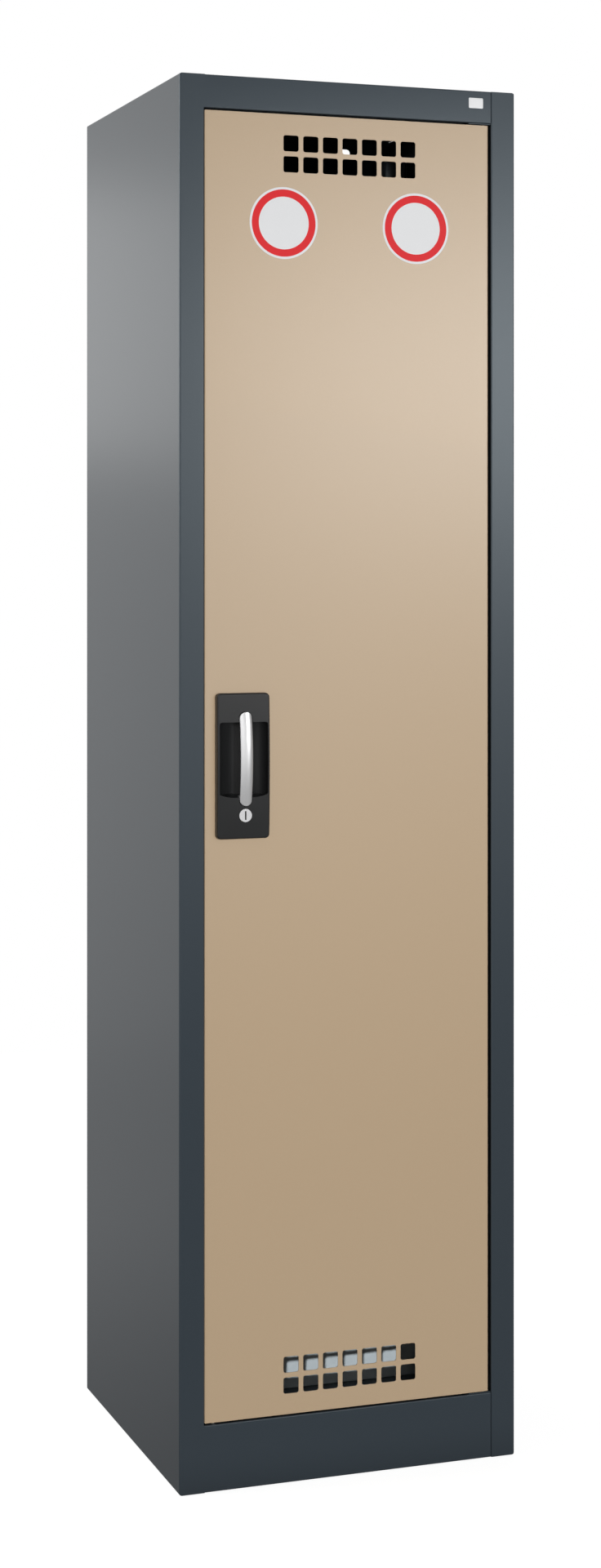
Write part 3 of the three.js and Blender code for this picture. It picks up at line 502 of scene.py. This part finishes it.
def paint(obj, material):
    for slot in obj.material_slots:
        slot.link = "OBJECT"
        slot.material = material


SLOT_OF = {entry["node"]: entry["material_slot"] for entry in frame["record"]["subparts"]}
for node_name, node in NODES.items():
    node.modifiers.new("skin", "NODES").node_group = PREPARE
    if node_name in BEVELS:
        round_edges(node, BEVELS[node_name])
    shade_smoothly(node)
    keep_flats_flat(node)
    paint(node, FINISHES[SLOT_OF[node_name]])

# The photograph shows these nodes in other looks than their slots have.
paint(NODES["lock_plug"], LOCK_FACE)
for end in ("upper", "lower"):
    paint(NODES["hinge_plate_" + end], ANTHRACITE)
    paint(NODES["hinge_pin_" + end], BLACKENED)


# Pieces made here

def new_piece(name, mesh, materials, body):
    obj = bpy.data.objects.new(name, mesh)
    SCENE.collection.objects.link(obj)
    for material in materials:
        mesh.materials.append(material)
    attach(obj, body)
    return obj


def closed_mesh(name, bm):
    """Turns the faces of a closed form outward and stores it as a mesh."""
    bmesh.ops.recalc_face_normals(bm, faces=bm.faces)
    mesh = bpy.data.meshes.new(name)
    bm.to_mesh(mesh)
    bm.free()
    return mesh


def round_label(name, x, z):
    """A plain round label: pale middle, red ring and white rim, with a small round at its edge."""
    films = [FILM_WHITE, FILM_RED, FILM_PALE]
    rim, red, pale = range(len(films))
    # Each ring of points: its radius, its height over the door and the film from it inward.
    rings = (
        (FAN_RADIUS, LABEL_THICKNESS, pale),
        (PALE_RADIUS, LABEL_THICKNESS, pale),
        (RED_RADIUS, LABEL_THICKNESS, red),
        (LABEL_RADIUS - EDGE_ROUND, LABEL_THICKNESS, rim),
        (LABEL_RADIUS, EDGE_HEIGHT, rim),
        (LABEL_RADIUS, 0.0, rim),
    )
    bm = bmesh.new()
    loops = []
    for radius, height, _ in rings:
        loop = []
        for side in range(LABEL_SIDES):
            angle = 2 * math.pi * side / LABEL_SIDES
            place = (x + radius * math.cos(angle), DOOR_LOW.y - height, z + radius * math.sin(angle))
            loop.append(bm.verts.new(place))
        loops.append(loop)
    centre = bm.verts.new((x, DOOR_LOW.y - LABEL_THICKNESS, z))
    for side in range(LABEL_SIDES):
        after = (side + 1) % LABEL_SIDES
        bm.faces.new((centre, loops[0][side], loops[0][after])).material_index = pale
        for inner, outer, (_, _, film) in zip(loops, loops[1:], rings[1:]):
            band = bm.faces.new((inner[side], outer[side], outer[after], inner[after]))
            band.material_index = film
    bm.faces.new(list(reversed(loops[-1]))).material_index = rim
    for face in bm.faces:
        face.smooth = True
    label = new_piece(name, closed_mesh(name, bm), films, "door")
    shade_smoothly(label)


def rounded_outline(width, height, radius):
    """Points round a rectangle with round corners, centred on the origin."""
    points = []
    for quarter, (right, up) in enumerate(((1, 1), (-1, 1), (-1, -1), (1, -1))):
        for step in range(CORNER_STEPS + 1):
            angle = math.pi / 2 * (quarter + step / CORNER_STEPS)
            x = right * (width / 2 - radius) + radius * math.cos(angle)
            z = up * (height / 2 - radius) + radius * math.sin(angle)
            points.append((x, z))
    return points


def blank_plate(name):
    """A small bare plate with a soft edge, stuck to the top rail."""
    bm = bmesh.new()
    loops = []
    for inset, height in PLATE_LAYERS:
        outline = rounded_outline(PLATE_WIDTH - 2 * inset, PLATE_HEIGHT - 2 * inset, PLATE_CORNER - inset)
        places = [(PLATE_CENTRE[0] + x, RAIL_LOW.y - height, PLATE_CENTRE[1] + z) for x, z in outline]
        loops.append([bm.verts.new(place) for place in places])
    for lower, upper in zip(loops, loops[1:]):
        for index in range(len(lower)):
            after = (index + 1) % len(lower)
            bm.faces.new((lower[index], lower[after], upper[after], upper[index]))
    bm.faces.new(loops[-1])
    bm.faces.new(list(reversed(loops[0])))
    plate = new_piece(name, closed_mesh(name, bm), [PLATE], "cabinet")
    shade_smoothly(plate)
    keep_flats_flat(plate)


def box_piece(name, low, high, material, body):
    """A plain box between its lowest and its highest corner."""
    outline = ((low[0], low[1]), (high[0], low[1]), (high[0], high[1]), (low[0], high[1]))
    corners = [(x, y, z) for z in (low[2], high[2]) for x, y in outline]
    sides = [(3, 2, 1, 0), (4, 5, 6, 7), (0, 1, 5, 4), (1, 2, 6, 5), (2, 3, 7, 6), (3, 0, 4, 7)]
    mesh = bpy.data.meshes.new(name)
    mesh.from_pydata(corners, [], sides)
    new_piece(name, mesh, [material], body)


def seam_filler(name, bottom, top):
    """Painted filler that closes the groove between the bend of the left post and the end of a rail."""
    low = (POST_HIGH.x - FILLER_LEFT, RAIL_LOW.y - FILLER_PROUD, bottom)
    high = (POST_HIGH.x + FILLER_RIGHT, RAIL_LOW.y + FILLER_DEPTH, top)
    box_piece(name, low, high, ANTHRACITE, "cabinet")


def keyway_shade_box(name):
    """A near-black box that paints the shade inside the keyway, a little behind the face of the lock."""
    low = LOCK_AXIS - KEYWAY_REACH
    high = LOCK_AXIS + KEYWAY_REACH
    low.y = PLUG_LOW.y + KEYWAY_NEAR
    high.y = PLUG_LOW.y + KEYWAY_FAR
    box_piece(name, low, high, KEYWAY_SHADE, "lock")


seam_filler("seam_bead_top", RAIL_HIGH.z - RAIL_HEIGHT, RAIL_HIGH.z)
seam_filler("seam_bead_plinth", 0, PLINTH_HEIGHT)
for hand, across in LABEL_PLACES.items():
    round_label("round_label_" + hand, across, LABEL_LEVEL)
blank_plate("blank_plate")
# A box of painted shade inside the keyway.
keyway_shade_box("keyway_shade_box")


# Stage, camera and light

def make_floor(reach, level, bounce, seen, glow, gloss_front, gloss_behind):
    """A pale floor. The camera sees it lifted to white, and a gloss sees it brighter behind the cabinet."""
    corners = [(x * reach, y * reach, level) for x, y in ((-1, -1), (1, -1), (1, 1), (-1, 1))]
    mesh = bpy.data.meshes.new("floor")
    mesh.from_pydata(corners, [], [(0, 1, 2, 3)])
    floor = bpy.data.objects.new("floor", mesh)
    SCENE.collection.objects.link(floor)
    material = bpy.data.materials.new("floor_pale")
    material.use_nodes = True
    graph = Graph(material.node_tree)
    plain = graph.add("ShaderNodeBsdfDiffuse", {"Color": (*grey(bounce), 1)})[0]
    lit = graph.add("ShaderNodeBsdfDiffuse", {"Color": (*grey(seen), 1)})[0]
    lift = graph.add("ShaderNodeEmission", {"Strength": glow})[0]
    lifted = graph.add("ShaderNodeAddShader", {0: lit, 1: lift})[0]
    place = graph.add("ShaderNodeSeparateXYZ", {0: graph.add("ShaderNodeTexCoord", {})["Object"]})
    strength = graph.ranged(place["Y"], gloss_front, gloss_behind, FLOOR_CHANGE, "SMOOTHSTEP")
    gloss = graph.add("ShaderNodeEmission", {"Strength": strength})[0]
    in_gloss = graph.mixed_shader(graph.ray_kind("Glossy"), plain, gloss)
    in_view = graph.mixed_shader(graph.ray_kind("Camera", "Transmission"), in_gloss, lifted)
    graph.add("ShaderNodeOutputMaterial", {"Surface": in_view})
    mesh.materials.append(material)


def make_world(fill, gloss_front, gloss_left, gloss_low, gloss_high):
    """White to the camera and a plain fill on the object. A gloss sees a dimmer room in front, a lighter
    wall at the left of it, and a backdrop behind that falls off below."""
    world = bpy.data.worlds.new("studio")
    SCENE.world = world
    world.use_nodes = True
    graph = Graph(world.node_tree)
    way = graph.add("ShaderNodeSeparateXYZ", {0: graph.add("ShaderNodeTexCoord", {})["Generated"]})
    behind = graph.ranged(way["Y"], 0.0, 1.0, BACKDROP_TURN, "SMOOTHSTEP")
    backdrop = graph.ranged(way["Z"], gloss_low, gloss_high, BACKDROP_RISE, "SMOOTHSTEP")
    leftward = graph.ranged(way["X"], 0.0, 1.0, WALL_TURN, "SMOOTHSTEP")
    wall = graph.ranged(way["Z"], gloss_front, gloss_left, WALL_RISE, "SMOOTHSTEP")
    strength = graph.blended(behind, graph.blended(leftward, gloss_front, wall), backdrop)
    light, gloss, white = (
        graph.add("ShaderNodeBackground", {"Color": (*grey(1), 1), "Strength": level})[0]
        for level in (fill, strength, 1.0)
    )
    in_gloss = graph.mixed_shader(graph.ray_kind("Glossy"), light, gloss)
    in_view = graph.mixed_shader(graph.ray_kind("Camera", "Transmission"), in_gloss, white)
    graph.add("ShaderNodeOutputWorld", {"Surface": in_view})


def new_lamp(name, kind, power, direction):
    """A lamp that shines along the direction, and the lamp's data."""
    data = bpy.data.lights.new(name, kind)
    data.energy = power
    lamp = bpy.data.objects.new(name, data)
    SCENE.collection.objects.link(lamp)
    lamp.rotation_euler = Vector(direction).to_track_quat("-Z", "Y").to_euler()
    return lamp, data


def area_light(name, place, target, size, watts, gloss=True, diffuse=True):
    """A rectangular lamp aimed at the target, whose light can be kept out of gloss or of diffuse tone."""
    lamp, data = new_lamp(name, "AREA", watts, Vector(target) - Vector(place))
    data.shape = "RECTANGLE"
    data.size, data.size_y = size
    lamp.location = place
    lamp.visible_camera = False
    lamp.visible_glossy = gloss
    lamp.visible_diffuse = diffuse


def sun_light(name, direction, degrees, strength):
    """Light from one direction, with no gloss of its own."""
    lamp, data = new_lamp(name, "SUN", strength, direction)
    data.angle = math.radians(degrees)
    lamp.visible_glossy = False


def make_camera():
    data = bpy.data.cameras.new("camera")
    data.sensor_width = SENSOR_WIDTH
    data.lens = CAMERA_LENS
    data.shift_x, data.shift_y = CAMERA_SHIFT
    data.clip_start = CLIP_NEAR
    data.clip_end = CLIP_FAR
    camera = bpy.data.objects.new("camera", data)
    SCENE.collection.objects.link(camera)
    camera.location = CAMERA_PLACE
    camera.rotation_euler = (math.pi / 2, 0, -CAMERA_TURN)
    SCENE.camera = camera


make_floor(
    reach=3.0,
    level=-0.6 * MM,
    bounce=0.34,
    seen=0.30,
    glow=0.925,
    gloss_front=0.24,
    gloss_behind=0.47,
)
make_world(fill=0.15, gloss_front=0.16, gloss_left=1.5, gloss_low=0.40, gloss_high=0.83)

# The front sun and the middle lamp give the front its tone; the two keys and left_back add gloss alone.
sun_light("front_sun", (0.0, 1.0, -0.01), degrees=3.5, strength=2.38)
area_light("key", (1.74, -3.4, 1.82), (0.0, -0.25, 1.2), size=(1.95, 0.76), watts=34, diffuse=False)
area_light("key_low", (0.9, -3.4, 0.93), (0.0, -0.25, 0.9), size=(2.7, 1.1), watts=6.4, diffuse=False)
area_light("left_back", (-1.2, 3.4, 1.92), (-0.25, 0.0, 1.5), size=(1.3, 0.76), watts=2.15, diffuse=False)
area_light("middle", (0.0, -1.15, 1.02), (0.0, -0.25, 1.02), size=(0.4, 0.5), watts=1.05, gloss=False)
area_light("left", (-3.6, 0.9, 2.2), (-0.25, 0.0, 1.1), size=(1.6, 1.6), watts=62)
area_light("top", (0.0, 0.6, 4.2), (0.0, 0.0, 1.0), size=(2.4, 2.4), watts=40)
make_camera()

SCENE.view_settings.view_transform = "Standard"
